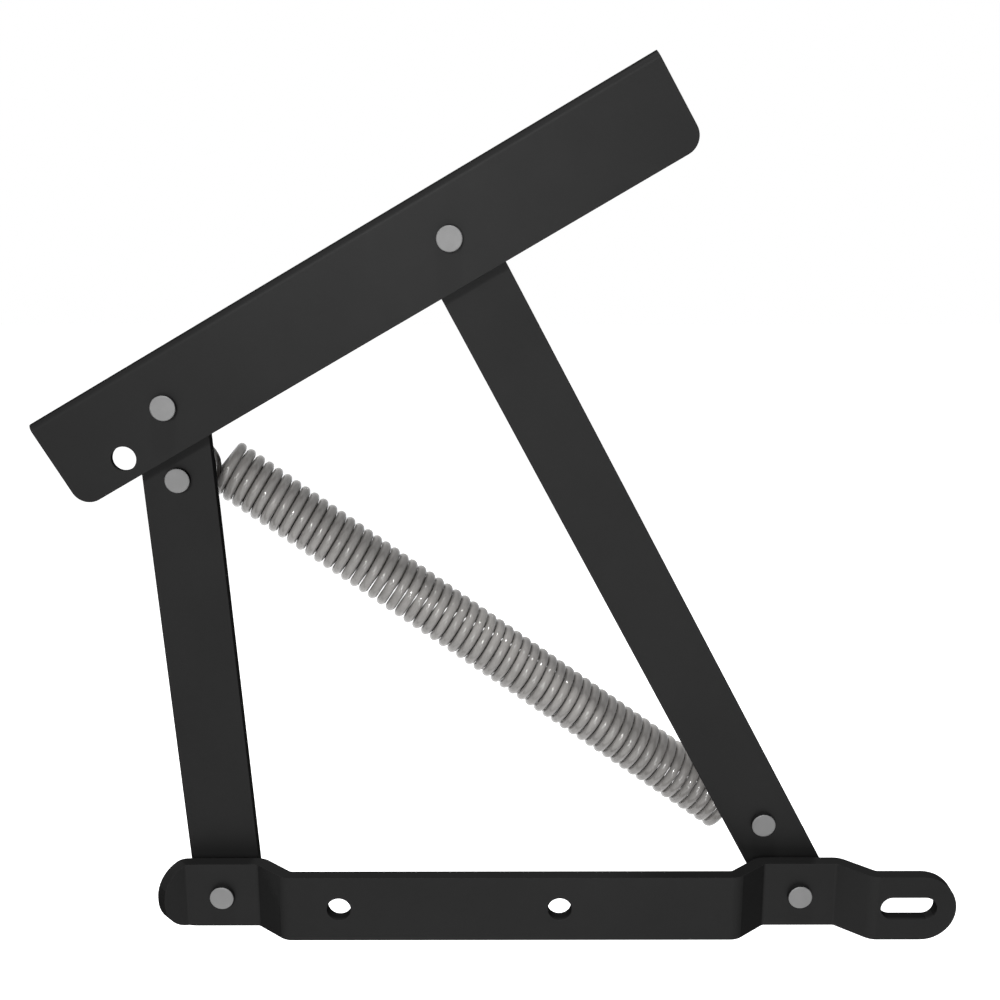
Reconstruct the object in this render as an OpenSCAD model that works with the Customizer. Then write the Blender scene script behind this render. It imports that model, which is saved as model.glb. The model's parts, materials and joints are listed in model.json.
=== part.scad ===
// Spring lift mechanism for a hinged furniture top: a four-bar linkage of flat steel bars
// between a cranked base strap and an angle rail, with a tension spring across the two links.
// +X runs along the strap, +Y points away from the front, +Z is up. The origin is midway
// between the two fixing holes of the strap, on the strap's front face.

/* [Linkage] */
// Distance between the two pivots of the left link
left_link_length = 219; // [200:0.5:230]
// Distance between the two pivots of the right link
right_link_length = 324; // [314:0.5:334]
// Distance between the two pivots on the rail
rail_pivot_pitch = 135; // [125:0.5:145]
// Distance between the two pivots on the base strap
base_pitch = 255.3; // [246:0.1:264]
// Distance from the end pivot of a link to its spring post
spring_post_reach = 32.3; // [28:0.1:40]
// Slope of the raised rail
rail_angle = 30; // [26:0.5:34]

/* [Links] */
// Width of the links
link_width = 30; // [26:0.5:32]
// Thickness of the links
link_thickness = 6; // [4:0.5:8]

/* [Base strap] */
// Width of the strap
strap_width = 30; // [24:0.5:36]
// Thickness of the strap
strap_thickness = 6; // [4:0.5:8]
// Step back from the fixing face to the pivot pads
joggle_depth = 12; // [10:0.5:16]
// Slope of the steps and of the left tip
joggle_angle = 41.8; // [35:0.1:50]
// Inside radius of the strap's bends
strap_bend_radius = 1.7; // [0.5:0.1:3]
// Pivot to either end of its pad, on the front face
pad_reach = 15.75; // [14:0.05:20]
// Length of the left tip along its slope
tip_length = 12.2; // [10:0.1:16]
// Straight part between the two round corners of the left tip
tip_flat = 1.6; // [0.4:0.1:6]
// Strap beyond the right pivot
right_overhang = 65.8; // [62:0.1:80]
// Left pivot to the first fixing hole
fixing_hole_reach = 52.7; // [44:0.1:60]
// Distance between the two fixing holes
fixing_hole_pitch = 96; // [64:1:128]
// Diameter of the fixing holes and width of the slot
fixing_hole_diameter = 10.4; // [8:0.1:12]
// Right pivot to the middle of the slot
slot_reach = 45.2; // [43:0.1:48]
// Length of the slot from end to end
slot_length = 24.4; // [16:0.1:26]

/* [Rail] */
// Thickness of the rail's sheet
rail_thickness = 3; // [2:0.5:4]
// Pivot line to the lower edge of the rail
rail_drop = 19; // [16:0.5:24]
// Pivot line to the top face of the rail's flange
rail_rise = 21.5; // [20:0.5:26]
// Width of the rail's flange over its bend
rail_flange_width = 40; // [30:1:50]
// Inside radius of the rail's bend
rail_bend_radius = 0.5; // [0.5:0.1:2]
// Radius of the rail's two lower corners
rail_corner_radius = 8; // [4:0.5:14]
// Rail beyond its left pivot
rail_left_reach = 52.5; // [44:0.5:70]
// Rail beyond its right pivot
rail_right_reach = 105.1; // [60:0.1:140]
// Left pivot to the hole in the rail's web
web_hole_reach = 26.2; // [22:0.1:34]
// Pivot line to the hole in the rail's web
web_hole_drop = 9.7; // [6:0.1:10]
// Diameter of the hole in the rail's web
web_hole_diameter = 10.4; // [6:0.1:11]
// Diameter of the screw holes in the flange
screw_hole_diameter = 7; // [5:0.5:9]
// Number of screw holes in the flange
screw_hole_count = 3; // [2:1:6]
// End of the rail to the first screw hole
screw_hole_margin = 20; // [12:1:30]

/* [Rivets] */
// Diameter of every rivet and post in its holes
shank_diameter = 8; // [6:0.5:10]
// Diameter of the flat heads
head_diameter = 10.5; // [10.5:0.5:14]
// Height of the flat heads
head_height = 2.8; // [1.5:0.1:3]
// Bevel around the flat heads
head_bevel = 0.3; // [0.1:0.1:0.6]
// Diameter of the formed tails
tail_diameter = 12; // [11:0.5:15]
// Height of the formed tails
tail_height = 3; // [2:0.5:5]
// Diameter of the spacers and washers
washer_diameter = 18; // [16:0.5:22]
// Length of the spacers between pads and links
spacer_length = 6; // [4:0.5:10]
// Thickness of the washers behind the links
washer_thickness = 1.5; // [1:0.1:2.5]
// Radial clearance of a turning rivet in its hole
running_clearance = 0.05; // [0.03:0.01:0.09]
// Radial clearance of a fixed rivet in its hole
seat_clearance = 0.02; // [0.01:0.01:0.05]

/* [Spring] */
// Diameter of the spring's wire
wire_diameter = 4.2; // [3.8:0.1:4.25]
// Outside diameter of the coils
coil_diameter = 25.3; // [22:0.1:27]
// Number of full coils
coil_count = 57; // [40:1:57]
// Outside diameter of the two end eyes
eye_diameter = 26.5; // [24:0.1:28]
// Side step from the axis of the coils to the middle of an eye
eye_offset = 8.9; // [8:0.1:10]
// Back of the left link to the middle of the upper eye
upper_eye_depth = 20; // [16:0.5:26]
// Back of the right link to the middle of the lower eye
lower_eye_depth = 13.5; // [13.5:0.5:20]
// Radial clearance between an eye and its bush
eye_clearance = 0.4; // [0.3:0.1:1]
// Diameter of the shoulder of the spring posts
shoulder_diameter = 14; // [12:0.5:15]
// Bush beyond the wire at either side
bush_margin = 0.5; // [0.3:0.1:1]
// Height of the rim of the caps on the spring posts
cap_rim = 1.5; // [1:0.1:3]
// Height of the dome of the caps
cap_dome = 3; // [2:0.5:5]

/* [Hidden] */
$fn = 96;
// Overshoot of a cut beyond the faces that it passes
through = 1;
// Largest turn of one facet of a bend
bend_step = 7.5;

// Depths of the flat layers, front to back
pad_front = joggle_depth;
pad_back = pad_front + strap_thickness;
web_front = pad_back - rail_thickness;
link_front = pad_back + spacer_length;
link_back = link_front + link_thickness;
washer_back = link_back + washer_thickness;

// Pivots of the base, as [x, z]
base_left = [-fixing_hole_reach - fixing_hole_pitch / 2, 0];
base_right = base_left + [base_pitch, 0];

// Strap seen from above, as [x, y] on its middle line: half a pivot pad, and the end of the left tip
pad_middle = pad_front + strap_thickness / 2;
pad_half = pad_reach + strap_thickness / 2 * tan(joggle_angle / 2);
strap_tip = [base_left.x - pad_half, pad_middle]
    - tip_length * [cos(joggle_angle), sin(joggle_angle)];

// Raised pose of the four-bar linkage: both links must reach the sloping rail
rail_vector = rail_pivot_pitch * [cos(rail_angle), sin(rail_angle)];
closing_vector = [base_pitch, 0] - rail_vector;
closing_length = norm(closing_vector);
closing_angle = atan2(closing_vector.y, closing_vector.x);
right_link_angle = closing_angle + acos(
    (left_link_length ^ 2 - closing_length ^ 2 - right_link_length ^ 2)
    / (2 * closing_length * right_link_length));
rail_right = base_right + right_link_length * [cos(right_link_angle), sin(right_link_angle)];
rail_left = rail_right - rail_vector;
left_link_angle = atan2(rail_left.y - base_left.y, rail_left.x - base_left.x);

// Spring posts: one near the upper end of the left link, one near the foot of the right link
upper_post = base_left
    + (left_link_length - spring_post_reach) * [cos(left_link_angle), sin(left_link_angle)];
lower_post = base_right + spring_post_reach * [cos(right_link_angle), sin(right_link_angle)];
post_line = lower_post - upper_post;
upper_eye_y = link_back + upper_eye_depth;
lower_eye_y = link_back + lower_eye_depth;

// Spring: the coils' axis crosses the line between the posts, so the eyes lie on opposite sides
coil_radius = (coil_diameter - wire_diameter) / 2;
eye_radius = (eye_diameter - wire_diameter) / 2;
eye_span = norm([post_line.x, post_line.y, lower_eye_y - upper_eye_y]);
axis_span = sqrt(eye_span ^ 2 - 4 * eye_offset ^ 2);
axis_tilt = asin(2 * eye_offset / eye_span);
coil_turns = coil_count + 0.5;
coil_pitch = (axis_span - 2 * eye_radius) / coil_turns;
bush_diameter = 2 * (eye_radius - wire_diameter / 2 - eye_clearance);
bush_length = wire_diameter + 2 * bush_margin;

rings_per_coil = 8;
rings_per_eye = 24;
wire_sides = 6;
// Turning angle over which the wire leaves the coils for the eye
blend_start = -45;
blend_end = 60;
// Opening between the free end of an eye and its beginning
eye_opening = 62;

steel_black = [0.15, 0.15, 0.15];
steel_plain = [0.55, 0.55, 0.55];
steel_spring = [0.47, 0.46, 0.44];
bush_grey = [0.25, 0.25, 0.26];

// Solid along +Y between two depths, round the axis through a point [x, z]
module disc(point, from_y, to_y, diameter, end_diameter = undef) {
    translate([point.x, from_y, point.y])
        rotate([-90, 0, 0])
            cylinder(h = to_y - from_y, d1 = diameter, d2 = is_undef(end_diameter) ? diameter : end_diameter);
}

// Outline in the X-Z plane made solid between two depths
module plate(from_y, to_y) {
    translate([0, to_y, 0])
        rotate([90, 0, 0])
            linear_extrude(to_y - from_y)
                children();
}

// Flat-sided outline with two round ends, from x = 0 to x = length between the round centres
module stadium(length, width) {
    translate([0, -width / 2])
        square([length, width]);
    circle(d = width);
    translate([length, 0])
        circle(d = width);
}

// Dome on a flat base that faces -Y
module dome(point, from_y, diameter, height) {
    ball = ((diameter / 2) ^ 2 + height ^ 2) / (2 * height);
    intersection() {
        translate([point.x, from_y + height - ball, point.y])
            rotate([-90, 0, 0])
                sphere(r = ball);
        disc(point, from_y, from_y + height + through, 2 * ball);
    }
}

// Flat head with a bevelled rim, whose seat is at seat_y
module flat_head(point, seat_y) {
    disc(point, seat_y - head_height + head_bevel, seat_y, head_diameter);
    disc(point, seat_y - head_height, seat_y - head_height + head_bevel,
        head_diameter - 2 * head_bevel, head_diameter);
}

// Ring with a bore, such as a spacer, a washer or a bush
module ring(point, from_y, to_y, outside, bore) {
    difference() {
        disc(point, from_y, to_y, outside);
        disc(point, from_y - through, to_y + through, bore);
    }
}

// Direction in degrees from one corner of a path to the next
function heading(corners, i) =
    atan2(corners[i + 1].y - corners[i].y, corners[i + 1].x - corners[i].x);
function toward(angle) = [cos(angle), sin(angle)];

// Points along one side of a bent sheet, whose middle line follows corners. Side is 1 on the left
// of the path and -1 on its right. Each bend is an arc about one centre for both sides.
function side_points(corners, thickness, inner_radius, side) = [
    corners[0] + side * thickness / 2 * toward(heading(corners, 0) + 90),
    for (i = [1 : len(corners) - 2])
        let (
            before = heading(corners, i - 1),
            turn = heading(corners, i) - before,
            middle_radius = inner_radius + thickness / 2,
            setback = middle_radius * abs(tan(turn / 2)),
            centre = corners[i] - setback * toward(before)
                + sign(turn) * middle_radius * toward(before + 90),
            radius = middle_radius - sign(turn) * side * thickness / 2,
            steps = ceil(abs(turn) / bend_step)
        )
            for (k = [0 : steps])
                centre + radius * toward(before - 90 * sign(turn) + turn * k / steps),
    corners[len(corners) - 1] + side * thickness / 2 * toward(heading(corners, len(corners) - 2) + 90)
];
function reversed(list) = [for (i = [len(list) - 1 : -1 : 0]) list[i]];

module bent_section(corners, thickness, inner_radius) {
    polygon([
        each side_points(corners, thickness, inner_radius, -1),
        each reversed(side_points(corners, thickness, inner_radius, 1))
    ]);
}

// Base strap seen from above: the fixing faces lie in front, the two pivot pads step back and the
// left tip slopes to the front
module strap_section() {
    front_middle = strap_thickness / 2;
    joggle_run = joggle_depth / tan(joggle_angle);
    bent_section([
        strap_tip - through * toward(joggle_angle),
        [base_left.x - pad_half, pad_middle],
        [base_left.x + pad_half, pad_middle],
        [base_left.x + pad_half + joggle_run, front_middle],
        [base_right.x - pad_half - joggle_run, front_middle],
        [base_right.x - pad_half, pad_middle],
        [base_right.x + pad_half, pad_middle],
        [base_right.x + pad_half + joggle_run, front_middle],
        [base_right.x + right_overhang, front_middle]
    ], strap_thickness, strap_bend_radius);
}

// Outline along +X whose end at x = 0 has two round corners with a straight part between them
module tip_outline(length, width, flat) {
    radius = (width - flat) / 2;
    translate([radius, -width / 2])
        square([length - radius, width]);
    translate([0, -flat / 2])
        square([length, flat]);
    for (side = [-1, 1])
        translate([radius, side * flat / 2])
            circle(r = radius);
}

module base_strap() {
    end_radius = strap_width / 2;
    right_round = base_right.x + right_overhang - end_radius;
    blank_length = right_round - strap_tip.x + strap_width;
    slot_run = slot_length - fixing_hole_diameter;
    color(steel_black)
        difference() {
            intersection() {
                translate([0, 0, -end_radius])
                    linear_extrude(strap_width)
                        strap_section();
                plate(-through, pad_back + through)
                    translate([right_round - blank_length, 0])
                        stadium(blank_length, strap_width);
                translate([strap_tip.x, strap_tip.y, 0])
                    rotate([0, 0, joggle_angle])
                        plate(-blank_length, blank_length)
                            tip_outline(blank_length, strap_width, tip_flat);
            }
            for (side = [-1, 1])
                disc([side * fixing_hole_pitch / 2, 0], -through, strap_thickness + through,
                    fixing_hole_diameter);
            plate(-through, strap_thickness + through)
                translate([base_right.x + slot_reach - slot_run / 2, 0])
                    stadium(slot_run, fixing_hole_diameter);
            for (pivot = [base_left, base_right])
                disc(pivot, pad_front - through, pad_back + through,
                    shank_diameter + 2 * seat_clearance);
        }
}

// Pivot rivet with a flat head in front and a formed tail behind
module pivot_rivet(point, seat_y) {
    flat_head(point, seat_y);
    disc(point, seat_y, washer_back, shank_diameter);
    dome(point, washer_back, tail_diameter, tail_height);
}

module spacer(point) {
    ring(point, pad_back, link_front, washer_diameter, shank_diameter + 2 * seat_clearance);
}

module washer(point) {
    ring(point, link_back, washer_back, washer_diameter, shank_diameter + 2 * seat_clearance);
}

module base_rivet_left() {
    color(steel_plain) pivot_rivet(base_left, pad_front);
}

module base_rivet_right() {
    color(steel_plain) pivot_rivet(base_right, pad_front);
}

module base_spacer_left() {
    color(steel_black) spacer(base_left);
}

module base_spacer_right() {
    color(steel_black) spacer(base_right);
}

module base_washer_left() {
    color(steel_plain) washer(base_left);
}

module base_washer_right() {
    color(steel_plain) washer(base_right);
}

// Flat bar from a pivot, with a running hole at each end and a seat for the spring post
module link(pivot, angle, length, post_reach) {
    running_hole = shank_diameter + 2 * running_clearance;
    translate([pivot.x, 0, pivot.y])
        rotate([0, -angle, 0])
            difference() {
                plate(link_front, link_back)
                    stadium(length, link_width);
                for (reach = [0, length])
                    disc([reach, 0], link_front - through, link_back + through, running_hole);
                disc([post_reach, 0], link_front - through, link_back + through,
                    shank_diameter + 2 * seat_clearance);
            }
}

module left_link() {
    color(steel_black)
        link(base_left, left_link_angle, left_link_length, left_link_length - spring_post_reach);
}

module right_link() {
    color(steel_black)
        link(base_right, right_link_angle, right_link_length, spring_post_reach);
}

// Outline of the rail's web, with its two lower corners rounded
module web_outline() {
    length = rail_left_reach + rail_pivot_pitch + rail_right_reach;
    height = rail_drop + rail_rise;
    translate([-rail_left_reach, -rail_drop]) {
        translate([rail_corner_radius, 0])
            square([length - 2 * rail_corner_radius, height]);
        translate([0, rail_corner_radius])
            square([length, height - rail_corner_radius]);
        for (x = [rail_corner_radius, length - rail_corner_radius])
            translate([x, rail_corner_radius])
                circle(r = rail_corner_radius);
    }
}

// Angle rail: an upright web carried by the links and a flange that the furniture top rests on
module rail_angle_iron() {
    length = rail_left_reach + rail_pivot_pitch + rail_right_reach;
    web_middle = web_front + rail_thickness / 2;
    flange_middle = rail_rise - rail_thickness / 2;
    flange_back = web_front + rail_flange_width;
    screw_y = (pad_back + flange_back) / 2;
    screw_pitch = (length - 2 * screw_hole_margin) / (screw_hole_count - 1);
    color(steel_black)
        translate([rail_left.x, 0, rail_left.y])
            rotate([0, -rail_angle, 0])
                difference() {
                    intersection() {
                        translate([-rail_left_reach, 0, 0])
                            rotate([90, 0, 90])
                                linear_extrude(length)
                                    bent_section([
                                        [web_middle, -rail_drop],
                                        [web_middle, flange_middle],
                                        [flange_back, flange_middle]
                                    ], rail_thickness, rail_bend_radius);
                        plate(web_front - through, flange_back + through)
                            web_outline();
                    }
                    for (x = [0, rail_pivot_pitch])
                        disc([x, 0], web_front - through, pad_back + through,
                            shank_diameter + 2 * seat_clearance);
                    disc([-web_hole_reach, -web_hole_drop], web_front - through, pad_back + through,
                        web_hole_diameter);
                    for (i = [0 : screw_hole_count - 1])
                        translate([-rail_left_reach + screw_hole_margin + i * screw_pitch, screw_y,
                                rail_rise - rail_thickness - through])
                            cylinder(h = rail_thickness + 2 * through, d = screw_hole_diameter);
                }
}

module rail_rivet_left() {
    color(steel_plain) pivot_rivet(rail_left, web_front);
}

// The right rail rivet is parted at the front face of the right link: this half keeps the rail
module rail_rivet_right() {
    color(steel_plain) {
        flat_head(rail_right, web_front);
        disc(rail_right, web_front, link_front, shank_diameter);
    }
}

// Rear half of the right rail rivet, which keeps the right link
module rail_rivet_right_tail() {
    color(steel_plain) {
        disc(rail_right, link_front, washer_back, shank_diameter);
        dome(rail_right, washer_back, tail_diameter, tail_height);
    }
}

module rail_spacer_left() {
    color(steel_black) spacer(rail_left);
}

module rail_spacer_right() {
    color(steel_black) spacer(rail_right);
}

module rail_washer_left() {
    color(steel_plain) washer(rail_left);
}

module rail_washer_right() {
    color(steel_plain) washer(rail_right);
}

// Shouldered post through a link, whose end carries the bush in the spring's eye
module spring_post(point, eye_y) {
    flat_head(point, link_front);
    disc(point, link_front, eye_y + bush_length / 2, shank_diameter);
    disc(point, link_back, eye_y - bush_length / 2, shoulder_diameter);
}

module eye_bush(point, eye_y) {
    ring(point, eye_y - bush_length / 2, eye_y + bush_length / 2, bush_diameter,
        shank_diameter + 2 * seat_clearance);
}

// Domed cap pressed against the end of a spring post
module end_cap(point, eye_y) {
    cap_front = eye_y + bush_length / 2;
    disc(point, cap_front, cap_front + cap_rim, bush_diameter);
    dome(point, cap_front + cap_rim, bush_diameter, cap_dome);
}

module upper_spring_post() {
    color(steel_plain) spring_post(upper_post, upper_eye_y);
}

module upper_eye_bush() {
    color(bush_grey) eye_bush(upper_post, upper_eye_y);
}

module upper_end_cap() {
    color(steel_plain) end_cap(upper_post, upper_eye_y);
}

module lower_spring_post() {
    color(steel_plain) spring_post(lower_post, lower_eye_y);
}

module lower_eye_bush() {
    color(bush_grey) eye_bush(lower_post, lower_eye_y);
}

module lower_end_cap() {
    color(steel_plain) end_cap(lower_post, lower_eye_y);
}

// Spring wire, in the spring's own frame: x along the axis of the coils, y depth, z up, with the
// origin halfway along. The lower half is worked out and the upper half is that half turned over.
coil_end = coil_pitch * coil_turns / 2;
eye_entry = -asin((coil_radius - eye_offset) / eye_radius);
function smooth(t) = let (s = min(max(t, 0), 1)) s * s * (3 - 2 * s);
// Point of the coils, by the angle from the place where they end at the top
function coil_point(angle) = [
    coil_end + coil_pitch * angle / 360,
    -coil_radius * sin(angle),
    coil_radius * cos(angle)
];
// Point of the eye, by the angle from its side next to the coils
function eye_point(angle) = [
    coil_end + eye_radius * (1 - cos(angle)),
    0,
    eye_offset - eye_radius * sin(angle)
];
function wire_point(angle) = let (share = smooth((angle - blend_start) / (blend_end - blend_start)))
    (1 - share) * coil_point(angle) + share * eye_point(angle + eye_entry);

coil_step = 360 / rings_per_coil;
eye_step = 360 / rings_per_eye;
half_turn_angle = coil_turns * 180;
eye_end = 360 - eye_opening - eye_entry;
lower_angles = [
    for (angle = [-half_turn_angle + coil_step / 2 : coil_step : blend_start]) angle,
    for (angle = [blend_start + eye_step / 2 : eye_step : eye_end]) angle
];
curved_half = [for (angle = lower_angles) wire_point(angle)];
last = len(curved_half) - 1;
end_direction = (curved_half[last] - curved_half[last - 1]) / norm(curved_half[last] - curved_half[last - 1]);
lower_half = [each curved_half, curved_half[last] + wire_diameter * end_direction];
upper_half = [for (i = [len(lower_half) - 1 : -1 : 0])
    [-lower_half[i].x, lower_half[i].y, -lower_half[i].z]];
wire_path = [each upper_half, each lower_half];

// Least distance between turns of the wire, less the wire, on points at least five rings apart
nearby_rings = 5;
far_rings = 40;
least_gap = min([
    for (i = [0 : len(wire_path) - 1 - nearby_rings])
        for (j = [i + nearby_rings : min(i + far_rings, len(wire_path) - 1)])
            norm(wire_path[i] - wire_path[j])
]) - wire_diameter;
echo(least_gap_of_spring = least_gap, coil_pitch = coil_pitch, rings = len(wire_path));

function unit(v) = v / norm(v);
// Direction of the wire at a point of its path
function tangent(path, i) = unit(path[min(i + 1, len(path) - 1)] - path[max(i - 1, 0)]);
// Side vectors that turn as little as possible from ring to ring
function carried_sides(path, i = 0, side = [0, 1, 0], sides = []) =
    i == len(path) ? sides
    : let (along = tangent(path, i), next = unit(side - (side * along) * along))
        carried_sides(path, i + 1, next, [each sides, next]);

module wire_tube(path, diameter, sides) {
    side_vectors = carried_sides(path, side = cross(tangent(path, 0), [0, 1, 0]));
    points = [
        for (i = [0 : len(path) - 1])
            let (u = side_vectors[i], v = cross(tangent(path, i), u))
                for (k = [0 : sides - 1])
                    path[i] + diameter / 2 * (cos(360 * k / sides) * u + sin(360 * k / sides) * v)
    ];
    walls = [
        for (i = [0 : len(path) - 2])
            for (k = [0 : sides - 1])
                let (a = i * sides + k, b = i * sides + (k + 1) % sides)
                    each [[a, a + sides, b + sides], [a, b + sides, b]]
    ];
    last_ring = (len(path) - 1) * sides;
    first_end = [for (k = [1 : sides - 2]) [0, k, k + 1]];
    last_end = [for (k = [1 : sides - 2]) [last_ring, last_ring + k + 1, last_ring + k]];
    polyhedron(points, [each walls, each first_end, each last_end]);
}

module tension_spring() {
    depth_angle = asin((lower_eye_y - upper_eye_y) / eye_span);
    color(steel_spring)
        translate([(upper_post.x + lower_post.x) / 2, (upper_eye_y + lower_eye_y) / 2,
                (upper_post.y + lower_post.y) / 2])
            rotate([0, -atan2(post_line.y, post_line.x), 0])
                rotate([0, 0, depth_angle])
                    rotate([0, axis_tilt, 0])
                        wire_tube(wire_path, wire_diameter, wire_sides);
}

base_strap();
base_rivet_left();
base_rivet_right();
base_spacer_left();
base_spacer_right();
base_washer_left();
base_washer_right();
left_link();
right_link();
rail_angle_iron();
rail_rivet_left();
rail_rivet_right();
rail_rivet_right_tail();
rail_spacer_left();
rail_spacer_right();
rail_washer_left();
rail_washer_right();
upper_spring_post();
upper_eye_bush();
upper_end_cap();
lower_spring_post();
lower_eye_bush();
lower_end_cap();
tension_spring();
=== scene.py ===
# Looks of a spring lift mechanism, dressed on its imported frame. Lengths are in metres.
import json

import bmesh
import bpy
import numpy as np
from math import asin, atan2, pi, radians
from mathutils import Matrix, Vector


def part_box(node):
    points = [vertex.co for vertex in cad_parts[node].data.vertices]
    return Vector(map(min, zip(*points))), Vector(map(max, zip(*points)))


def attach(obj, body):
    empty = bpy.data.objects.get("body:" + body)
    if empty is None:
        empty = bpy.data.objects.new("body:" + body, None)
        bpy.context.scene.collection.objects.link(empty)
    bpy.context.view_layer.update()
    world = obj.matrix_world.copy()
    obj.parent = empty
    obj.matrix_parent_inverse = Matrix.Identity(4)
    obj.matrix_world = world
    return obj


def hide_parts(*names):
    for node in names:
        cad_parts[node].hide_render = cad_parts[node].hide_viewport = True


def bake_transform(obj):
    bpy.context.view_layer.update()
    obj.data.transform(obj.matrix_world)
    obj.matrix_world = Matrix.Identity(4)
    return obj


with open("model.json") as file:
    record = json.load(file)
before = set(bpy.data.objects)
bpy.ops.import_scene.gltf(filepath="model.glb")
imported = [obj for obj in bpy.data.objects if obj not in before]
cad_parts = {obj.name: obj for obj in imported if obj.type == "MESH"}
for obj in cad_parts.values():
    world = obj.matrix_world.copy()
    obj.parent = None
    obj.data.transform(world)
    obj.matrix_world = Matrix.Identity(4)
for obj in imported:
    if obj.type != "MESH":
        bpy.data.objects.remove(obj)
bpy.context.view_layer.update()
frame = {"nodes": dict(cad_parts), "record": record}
scene = bpy.context.scene
body_of_node = {
    node: body for body, nodes in frame["record"]["behaviour"]["bodies"].items() for node in nodes
}

MM = 0.001

# Camera of the photograph
FOCAL_LENGTH = 49.476
SENSOR_WIDTH = 36
CAMERA_PLACE = (0.02231, -0.53681, 0.31637)
CAMERA_PITCH = radians(13.9251)
CAMERA_ROLL = radians(-0.075)
CLIP_START = 0.01
CLIP_END = 20

# Flat heads of the rivets and spring posts, whose upright walls carry the coat. A face counts as a
# wall where its normal has less than WALL_LEAN along Y.
HEADED = ("_rivet_left", "_rivet_right", "_spring_post")
HEAD_HEIGHT = 2.8 * MM
WALL_LEAN = 0.5

# Softened edges of each finish
COAT_EDGE = 0.22 * MM
STEEL_EDGE = 0.12 * MM
ZINC_EDGE = 0.15 * MM
NYLON_EDGE = 0.25 * MM
EDGE_SEGMENTS = 3
SHARP_ANGLE = radians(40)
FLAT_ANGLE = radians(0.4)
WELD_DISTANCE = 0.001 * MM
FACE_AREA_WEIGHT = 100

# Range in which most of a noise's values lie
NOISE_LOW = 0.3
NOISE_HIGH = 0.7

# Spring, whose last coils lead into the eyes between the two blend angles
WIRE_DIAMETER = 4.4 * MM
COIL_DIAMETER = 25.3 * MM
TURNS = 57.5
EYE_DIAMETER = 26.5 * MM
EYE_OFFSET = 8.9 * MM
BLEND_START = radians(-45)
BLEND_END = radians(60)
EYE_OPENING = radians(62)
TIP_ROUNDING = 0.12
RINGS_PER_TURN = 40
WIRE_SIDES = 16
WIRE_SMOOTH_ANGLE = radians(50)
WIRE_RUN = "wire_run"

# Floor and surroundings: the floor's glow grows to white between two distances from the origin
FLOOR_DROP = 0.45
FLOOR_REACH = 6.0
FLOOR_TONE = 0.80
FLOOR_GLOW = 0.8
GLOW_START = 1
GLOW_END = 3
WORLD_LIGHT = 0.02

# Lamps
LAMP_SIDE = 0.12
MIDDLE = (0.02, 0.03, 0.16)


def linked_object(name, data):
    thing = bpy.data.objects.new(name, data)
    scene.collection.objects.link(thing)
    return thing


def add_camera():
    data = bpy.data.cameras.new("camera")
    data.sensor_width = SENSOR_WIDTH
    data.lens = FOCAL_LENGTH
    data.clip_start = CLIP_START
    data.clip_end = CLIP_END
    camera = linked_object("camera", data)
    turn = Matrix.Rotation(pi / 2 - CAMERA_PITCH, 4, "X") @ Matrix.Rotation(CAMERA_ROLL, 4, "Z")
    camera.matrix_world = Matrix.Translation(CAMERA_PLACE) @ turn
    scene.camera = camera


def grey(level):
    return (level, level, level)


class Shader:
    """Builds one material's nodes around a principled shader."""

    def __init__(self, name):
        self.material = bpy.data.materials.new(name)
        self.material.use_nodes = True
        self.tree = self.material.node_tree
        self.shader = self.tree.nodes["Principled BSDF"]
        self.place = self.add("ShaderNodeTexCoord").outputs["Object"]

    def add(self, kind, **settings):
        node = self.tree.nodes.new(kind)
        for name, value in settings.items():
            setattr(node, name, value)
        return node

    def link(self, source, target):
        self.tree.links.new(source, target)

    def noise(self, scale, detail=3.0, stretch=(1, 1, 1)):
        mapping = self.add("ShaderNodeMapping")
        mapping.inputs["Scale"].default_value = stretch
        self.link(self.place, mapping.inputs["Vector"])
        noise = self.add("ShaderNodeTexNoise")
        noise.inputs["Scale"].default_value = scale
        noise.inputs["Detail"].default_value = detail
        self.link(mapping.outputs["Vector"], noise.inputs["Vector"])
        return noise.outputs["Fac"]

    def spread(self, factor, low, high, from_low=NOISE_LOW, from_high=NOISE_HIGH):
        span = self.add("ShaderNodeMapRange")
        span.inputs["From Min"].default_value = from_low
        span.inputs["From Max"].default_value = from_high
        span.inputs["To Min"].default_value = low
        span.inputs["To Max"].default_value = high
        self.link(factor, span.inputs["Value"])
        return span.outputs["Result"]

    def colours(self, factor, dark, light):
        ramp = self.add("ShaderNodeValToRGB")
        first, last = ramp.color_ramp.elements
        first.position = NOISE_LOW
        last.position = NOISE_HIGH
        first.color = (*dark, 1)
        last.color = (*light, 1)
        self.link(factor, ramp.inputs["Fac"])
        self.link(ramp.outputs["Color"], self.shader.inputs["Base Color"])

    def roughness(self, factor, low, high):
        self.link(self.spread(factor, low, high), self.shader.inputs["Roughness"])

    def bump(self, height, strength, distance):
        bump = self.add("ShaderNodeBump")
        bump.inputs["Strength"].default_value = strength
        bump.inputs["Distance"].default_value = distance
        self.link(height, bump.inputs["Height"])
        self.link(bump.outputs["Normal"], self.shader.inputs["Normal"])

    def set(self, **values):
        for name, value in values.items():
            self.shader.inputs[name.replace("_", " ")].default_value = value


def powder_coat():
    """Matte black powder coat: fine orange peel and a faint mottle."""
    look = Shader("black_powder_coat")
    look.colours(look.noise(scale=25), dark=grey(0.020), light=grey(0.0215))
    look.roughness(look.noise(scale=60), low=0.44, high=0.47)
    look.bump(look.noise(scale=1600, detail=2), strength=0.12, distance=0.04 * MM)
    look.set(Metallic=0.38, Specular_IOR_Level=0.0, Specular_Tint=(0.06, 0.06, 0.06, 1))
    return look.material


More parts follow.
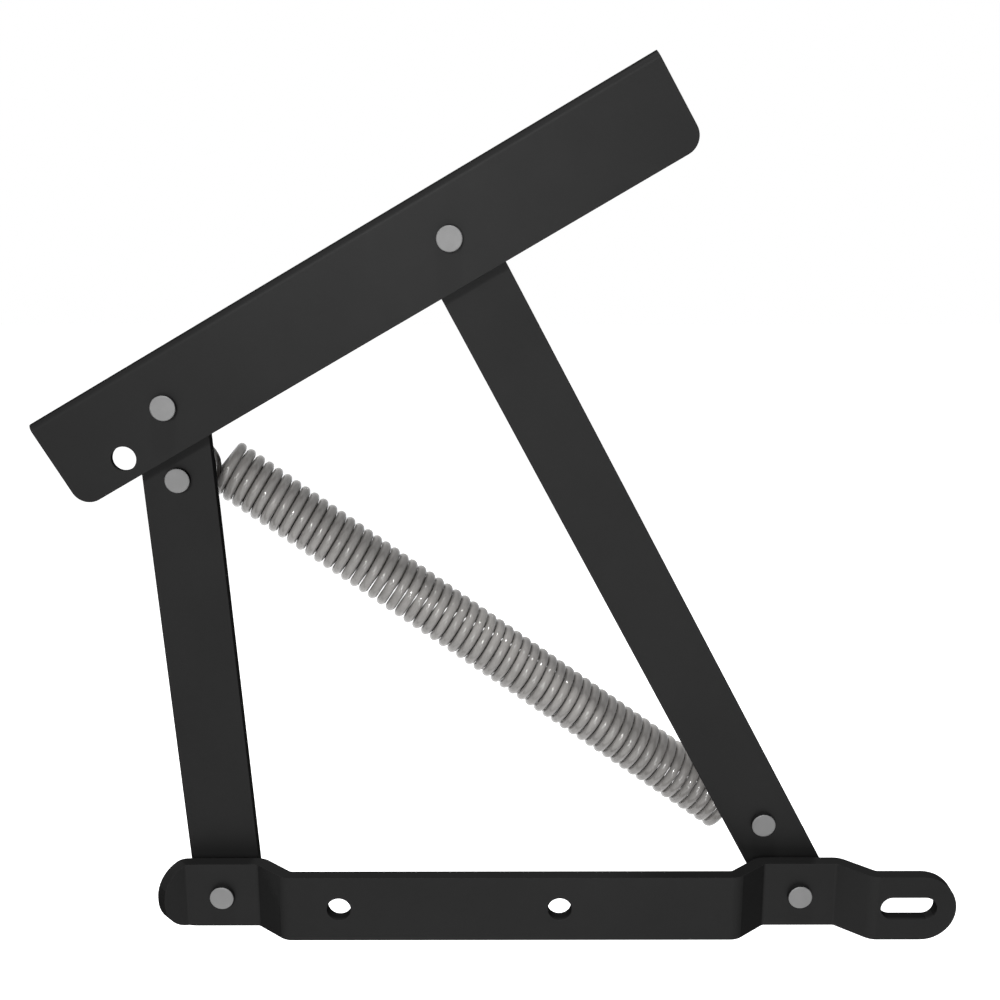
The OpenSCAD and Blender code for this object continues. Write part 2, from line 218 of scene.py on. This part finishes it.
def plain_steel():
    """Rivets and spring posts: pale turned steel with fine scratches."""
    look = Shader("turned_steel")
    look.colours(look.noise(scale=90), dark=grey(0.188), light=grey(0.208))
    look.roughness(look.noise(scale=260), low=0.5, high=0.6)
    scratches = look.noise(scale=900, detail=4, stretch=(1, 1, 6))
    look.bump(scratches, strength=0.06, distance=0.02 * MM)
    look.set(Metallic=0.2, Specular_IOR_Level=0.3)
    return look.material


def zinc_steel():
    """Zinc plated washers and end caps."""
    look = Shader("zinc_steel")
    look.colours(look.noise(scale=120), dark=(0.35, 0.35, 0.36), light=(0.43, 0.43, 0.44))
    look.roughness(look.noise(scale=200), low=0.3, high=0.42)
    look.bump(look.noise(scale=700), strength=0.08, distance=0.02 * MM)
    look.set(Metallic=0.9)
    return look.material


def nylon():
    """Dark moulded bushes in the spring's eyes."""
    look = Shader("bush_nylon")
    look.colours(look.noise(scale=150), dark=(0.03, 0.03, 0.033), light=(0.045, 0.045, 0.048))
    look.roughness(look.noise(scale=300), low=0.4, high=0.5)
    look.bump(look.noise(scale=1200, detail=2), strength=0.1, distance=0.02 * MM)
    return look.material


def drawing_lines(look, around, along, detail):
    """Noise that is drawn out along the wire: around counts on the normal, along on the run in mm."""
    place = look.add("ShaderNodeVectorMath", operation="SCALE")
    place.inputs["Scale"].default_value = around
    look.link(look.add("ShaderNodeTexCoord").outputs["Normal"], place.inputs[0])
    run = look.add("ShaderNodeAttribute", attribute_name=WIRE_RUN)
    stretched = look.add("ShaderNodeMath", operation="MULTIPLY")
    stretched.inputs[1].default_value = along
    look.link(run.outputs["Fac"], stretched.inputs[0])
    lines = look.add("ShaderNodeTexNoise", noise_dimensions="4D")
    lines.inputs["Scale"].default_value = 1
    lines.inputs["Detail"].default_value = detail
    look.link(place.outputs["Vector"], lines.inputs["Vector"])
    look.link(stretched.outputs[0], lines.inputs["W"])
    return lines.outputs["Fac"]


def spring_steel():
    """Oiled spring wire: warm grey, with drawing lines and cloudy patches."""
    look = Shader("spring_wire")
    patches = look.noise(scale=140, detail=4)
    look.colours(patches, dark=(0.226, 0.218, 0.209), light=(0.281, 0.270, 0.260))
    look.roughness(look.noise(scale=420, detail=4), low=0.08, high=0.13)
    lines = drawing_lines(look, around=12.0, along=0.22, detail=2.0)
    look.bump(lines, strength=0.35, distance=0.02 * MM)
    look.set(Specular_IOR_Level=0.5)
    return look.material


def studio_rays(tree):
    """A socket that is 1 for camera, glossy and transmission rays, and 0 for those that light things."""
    rays = tree.nodes.new("ShaderNodeLightPath")
    seen = rays.outputs["Is Camera Ray"]
    for kind in ("Is Glossy Ray", "Is Transmission Ray"):
        either = tree.nodes.new("ShaderNodeMath")
        either.operation = "MAXIMUM"
        tree.links.new(seen, either.inputs[0])
        tree.links.new(rays.outputs[kind], either.inputs[1])
        seen = either.outputs[0]
    return seen


def floor_material():
    """Pale floor: its own colour takes light and shadow, and a glow that only the studio rays see
    lifts it to white."""
    look = Shader("pale_floor")
    look.colours(look.noise(scale=3), dark=grey(FLOOR_TONE), light=grey(0.84))
    look.roughness(look.noise(scale=5), low=0.8, high=0.9)
    away = look.add("ShaderNodeVectorMath", operation="LENGTH")
    look.link(look.place, away.inputs[0])
    white_glow = 1 - FLOOR_TONE * WORLD_LIGHT
    strength = look.spread(away.outputs["Value"], FLOOR_GLOW, white_glow, GLOW_START, GLOW_END)
    glow = look.add("ShaderNodeEmission")
    look.link(strength, glow.inputs["Strength"])
    none = look.add("ShaderNodeEmission")
    none.inputs["Strength"].default_value = 0
    pick = look.add("ShaderNodeMixShader")
    look.link(studio_rays(look.tree), pick.inputs["Fac"])
    look.link(none.outputs[0], pick.inputs[1])
    look.link(glow.outputs[0], pick.inputs[2])
    both = look.add("ShaderNodeAddShader")
    look.link(look.shader.outputs[0], both.inputs[0])
    look.link(pick.outputs[0], both.inputs[1])
    look.link(both.outputs[0], look.tree.nodes["Material Output"].inputs["Surface"])
    return look.material


def mesh_object(name, vertices, faces, material):
    mesh = bpy.data.meshes.new(name)
    mesh.from_pydata([tuple(v) for v in vertices], [], [tuple(f) for f in faces])
    mesh.materials.append(material)
    return linked_object(name, mesh)


def run_on(piece, operator, **settings):
    """Runs an operator on one piece alone."""
    bpy.context.view_layer.objects.active = piece
    piece.select_set(True)
    operator(**settings)
    piece.select_set(False)


def smooth_faces(piece):
    for polygon in piece.data.polygons:
        polygon.use_smooth = True


def joined_mesh(source, name):
    """A copy of a mesh, with the triangles of each flat face joined."""
    mesh = source.copy()
    mesh.name = name
    sheet = bmesh.new()
    sheet.from_mesh(mesh)
    bmesh.ops.remove_doubles(sheet, verts=sheet.verts, dist=WELD_DISTANCE)
    bmesh.ops.dissolve_limit(
        sheet, angle_limit=FLAT_ANGLE, verts=sheet.verts, edges=sheet.edges, use_dissolve_boundaries=False
    )
    sheet.to_mesh(mesh)
    sheet.free()
    return mesh


def soften_edges(piece, width):
    """Rounds the sharp edges, and keeps the flat faces flat in the shading."""
    edge = piece.modifiers.new("softened_edges", "BEVEL")
    edge.width = width
    edge.segments = EDGE_SEGMENTS
    edge.limit_method = "ANGLE"
    edge.angle_limit = SHARP_ANGLE
    run_on(piece, bpy.ops.object.modifier_apply, modifier=edge.name)
    smooth_faces(piece)
    flat = piece.modifiers.new("flat_faces_stay_flat", "WEIGHTED_NORMAL")
    flat.mode = "FACE_AREA"
    flat.weight = FACE_AREA_WEIGHT
    run_on(piece, bpy.ops.object.modifier_apply, modifier=flat.name)


def finished_piece(node, material, edge, slot):
    """A copy of a frame node with softened edges, which stands for the node."""
    name = "finished_" + node
    mesh = joined_mesh(frame["nodes"][node].data, name)
    mesh.materials.clear()
    mesh.materials.append(material)
    piece = linked_object(name, mesh)
    soften_edges(piece, edge)
    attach(piece, body_of_node[node])
    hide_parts(node)
    return piece


def darken_head(piece, coat):
    """Puts the coat on the upright wall of a flat head, whose face stays bright."""
    mesh = piece.data
    coat_index = len(mesh.materials)
    mesh.materials.append(coat)
    front = min(vertex.co.y for vertex in mesh.vertices)
    for face in mesh.polygons:
        if abs(face.normal.y) < WALL_LEAN and face.center.y < front + HEAD_HEIGHT:
            face.material_index = coat_index


def add_solid_pieces():
    """Every node but the spring, with the finish and the edge of its slot."""
    coat = powder_coat()
    finishes = {
        "black_steel": (coat, COAT_EDGE),
        "plain_steel": (plain_steel(), STEEL_EDGE),
        "zinc_steel": (zinc_steel(), ZINC_EDGE),
        "bush_nylon": (nylon(), NYLON_EDGE),
    }
    for row in frame["record"]["subparts"]:
        slot = row["material_slot"]
        if slot in finishes:
            piece = finished_piece(row["node"], *finishes[slot], slot)
            if row["node"].endswith(HEADED):
                darken_head(piece, coat)


def smooth_step(t):
    s = np.clip(t, 0, 1)
    return s * s * (3 - 2 * s)


def spring_path(span):
    """Wire's centre line in the spring's own frame, with x along the coils' axis, and the share of
    the stretch that each point takes. span is the distance between the middles of the two eyes."""
    coil_radius = (COIL_DIAMETER - WIRE_DIAMETER) / 2
    eye_radius = (EYE_DIAMETER - WIRE_DIAMETER) / 2
    axis_span = (span**2 - 4 * EYE_OFFSET**2) ** 0.5
    coil_end = axis_span / 2 - eye_radius
    pitch = 2 * coil_end / TURNS
    entry = -asin((coil_radius - EYE_OFFSET) / eye_radius)
    step = 2 * pi / RINGS_PER_TURN
    last_angle = 2 * pi - EYE_OPENING - entry
    angles = np.arange(-TURNS * pi + step / 2, last_angle, step)
    coils = np.stack(
        [coil_end + pitch * angles / (2 * pi), -coil_radius * np.sin(angles), coil_radius * np.cos(angles)],
        axis=1,
    )
    turned = angles + entry
    eye = np.stack(
        [
            coil_end + eye_radius * (1 - np.cos(turned)),
            np.zeros_like(turned),
            EYE_OFFSET - eye_radius * np.sin(turned),
        ],
        axis=1,
    )
    share = smooth_step((angles - BLEND_START) / (BLEND_END - BLEND_START))[:, None]
    lower = coils * (1 - share) + eye * share
    tip = lower[-1] - lower[-2]
    tip /= np.linalg.norm(tip)
    lower = np.vstack([lower, lower[-1] + WIRE_DIAMETER * tip])
    upper = lower[::-1] * np.array([-1, 1, -1])
    path = np.vstack([upper, lower])
    stretch = np.clip((path[:, 0] + coil_end) / (2 * coil_end), 0, 1)
    return path, stretch


def tube(path, radius, sides):
    """Vertices and faces of a tube along path, with one narrower ring more at each rounded end."""
    ahead = np.vstack([path[1:], path[-1:]]) - np.vstack([path[:1], path[:-1]])
    ahead /= np.linalg.norm(ahead, axis=1)[:, None]
    side = np.cross(ahead[0], [0, 1, 0])
    rings = []
    around = np.arange(sides) * 2 * pi / sides
    for point, along in zip(path, ahead):
        side = side - side.dot(along) * along
        side /= np.linalg.norm(side)
        other = np.cross(along, side)
        rings.append((point, along, side, other))
    soft = TIP_ROUNDING * radius
    first = (rings[0][0] - soft * rings[0][1], *rings[0][1:])
    end = (rings[-1][0] + soft * rings[-1][1], *rings[-1][1:])
    sized = [(first, radius - soft), *[(ring, radius) for ring in rings], (end, radius - soft)]
    vertices = np.vstack(
        [
            point + r * (np.cos(around)[:, None] * side + np.sin(around)[:, None] * other)
            for (point, along, side, other), r in sized
        ]
    )
    faces = []
    for i in range(len(sized) - 1):
        for k in range(sides):
            a = i * sides + k
            b = i * sides + (k + 1) % sides
            faces.append((a, b, b + sides, a + sides))
    top = (len(sized) - 1) * sides
    faces.append(tuple(range(sides))[::-1])
    faces.append(tuple(range(top, top + sides)))
    return vertices, faces


def on_tube(values, sides):
    """Values of a path's points, given to all vertices of the tube along it."""
    return np.pad(values, 1, mode="edge").repeat(sides).astype(np.float32)


def middle(node):
    low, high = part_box(node)
    return (low + high) / 2


def spring_place(upper, lower):
    """Turn and shift from the spring's own frame to its place between the middles of its eyes."""
    between = lower - upper
    span = between.length
    slope = atan2(between.z, between.x)
    depth = asin(between.y / span)
    tilt = asin(2 * EYE_OFFSET / span)
    return (
        Matrix.Translation((upper + lower) / 2)
        @ Matrix.Rotation(-slope, 4, "Y")
        @ Matrix.Rotation(depth, 4, "Z")
        @ Matrix.Rotation(tilt, 4, "Y")
    )


def add_spring():
    """One unbroken wire between the bushes, coiled to the span between their middles."""
    upper = middle("upper_eye_bush")
    lower = middle("lower_eye_bush")
    path, stretch = spring_path((lower - upper).length)
    steps = np.linalg.norm(np.diff(path, axis=0), axis=1) / MM
    run = np.concatenate([[0], np.cumsum(steps)])
    vertices, faces = tube(path, WIRE_DIAMETER / 2, WIRE_SIDES)
    place = spring_place(upper, lower)
    vertices = vertices @ np.array(place.to_3x3()).T + np.array(place.translation)
    piece = mesh_object("coiled_spring", vertices, faces, spring_steel())
    smooth_faces(piece)
    run_on(piece, bpy.ops.object.shade_auto_smooth, angle=WIRE_SMOOTH_ANGLE)
    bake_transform(piece)
    on_tube(stretch, WIRE_SIDES)
    lines = piece.data.attributes.new(WIRE_RUN, "FLOAT", "POINT")
    lines.data.foreach_set("value", on_tube(run, WIRE_SIDES))
    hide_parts("tension_spring")


def add_floor():
    """Pale floor well below the mechanism, which hangs on its fixing holes."""
    corners = ((-1, -1), (1, -1), (1, 1), (-1, 1))
    floor = mesh_object(
        "floor",
        [(x * FLOOR_REACH, y * FLOOR_REACH, -FLOOR_DROP) for x, y in corners],
        [(0, 1, 2, 3)],
        floor_material(),
    )


def add_world():
    """White to the studio rays, and a weak fill on the object."""
    world = bpy.data.worlds.new("studio")
    scene.world = world
    world.use_nodes = True
    tree = world.node_tree
    back = tree.nodes["Background"]
    back.inputs["Color"].default_value = (1, 1, 1, 1)
    span = tree.nodes.new("ShaderNodeMapRange")
    span.inputs["To Min"].default_value = WORLD_LIGHT
    span.inputs["To Max"].default_value = 1.0
    tree.links.new(studio_rays(tree), span.inputs["Value"])
    tree.links.new(span.outputs["Result"], back.inputs["Strength"])


def add_lamp(name, place, power, target=MIDDLE, side=LAMP_SIDE, glossy=True):
    """A square lamp that faces its target."""
    data = bpy.data.lights.new(name, "AREA")
    data.shape = "SQUARE"
    data.size = side
    data.energy = power
    lamp = linked_object(name, data)
    aim = Vector(target) - Vector(place)
    lamp.matrix_world = Matrix.Translation(place) @ aim.to_track_quat("-Z", "Y").to_matrix().to_4x4()
    lamp.visible_glossy = glossy


def add_lamps():
    """Two lamps from the front left, four small ones on the camera's side that each lift a stretch of
    the rail or of a link, one behind that gives no gloss, and one above."""
    add_lamp("key_light", (-0.346, -1.693, 0.872), power=14, side=0.14)
    add_lamp("left_light", (-0.90, -1.94, 0.50), power=4.5, side=0.25)
    add_lamp("rail_light", (-0.071, -0.732, 0.248), power=0.8, target=(-0.017, 0.015, 0.287))
    add_lamp("rail_middle_light", (0.0, -0.733, 0.280), power=0.3, target=(0.015, 0.015, 0.300))
    add_lamp("rail_end_light", (0.077, -0.734, 0.316), power=0.25, target=(0.046, 0.015, 0.316))
    add_lamp("link_light", (0.158, -0.687, -0.089), power=0.55, target=(0.082, 0.024, 0.138))
    add_lamp("back_light", (0.02, 1.589, 1.06), power=33, side=0.5, glossy=False)
    add_lamp("top_light", (0.02, -0.283, 1.933), power=24)


add_camera()
add_solid_pieces()
add_spring()
add_floor()
add_world()
add_lamps()

scene.view_settings.view_transform = "Standard"
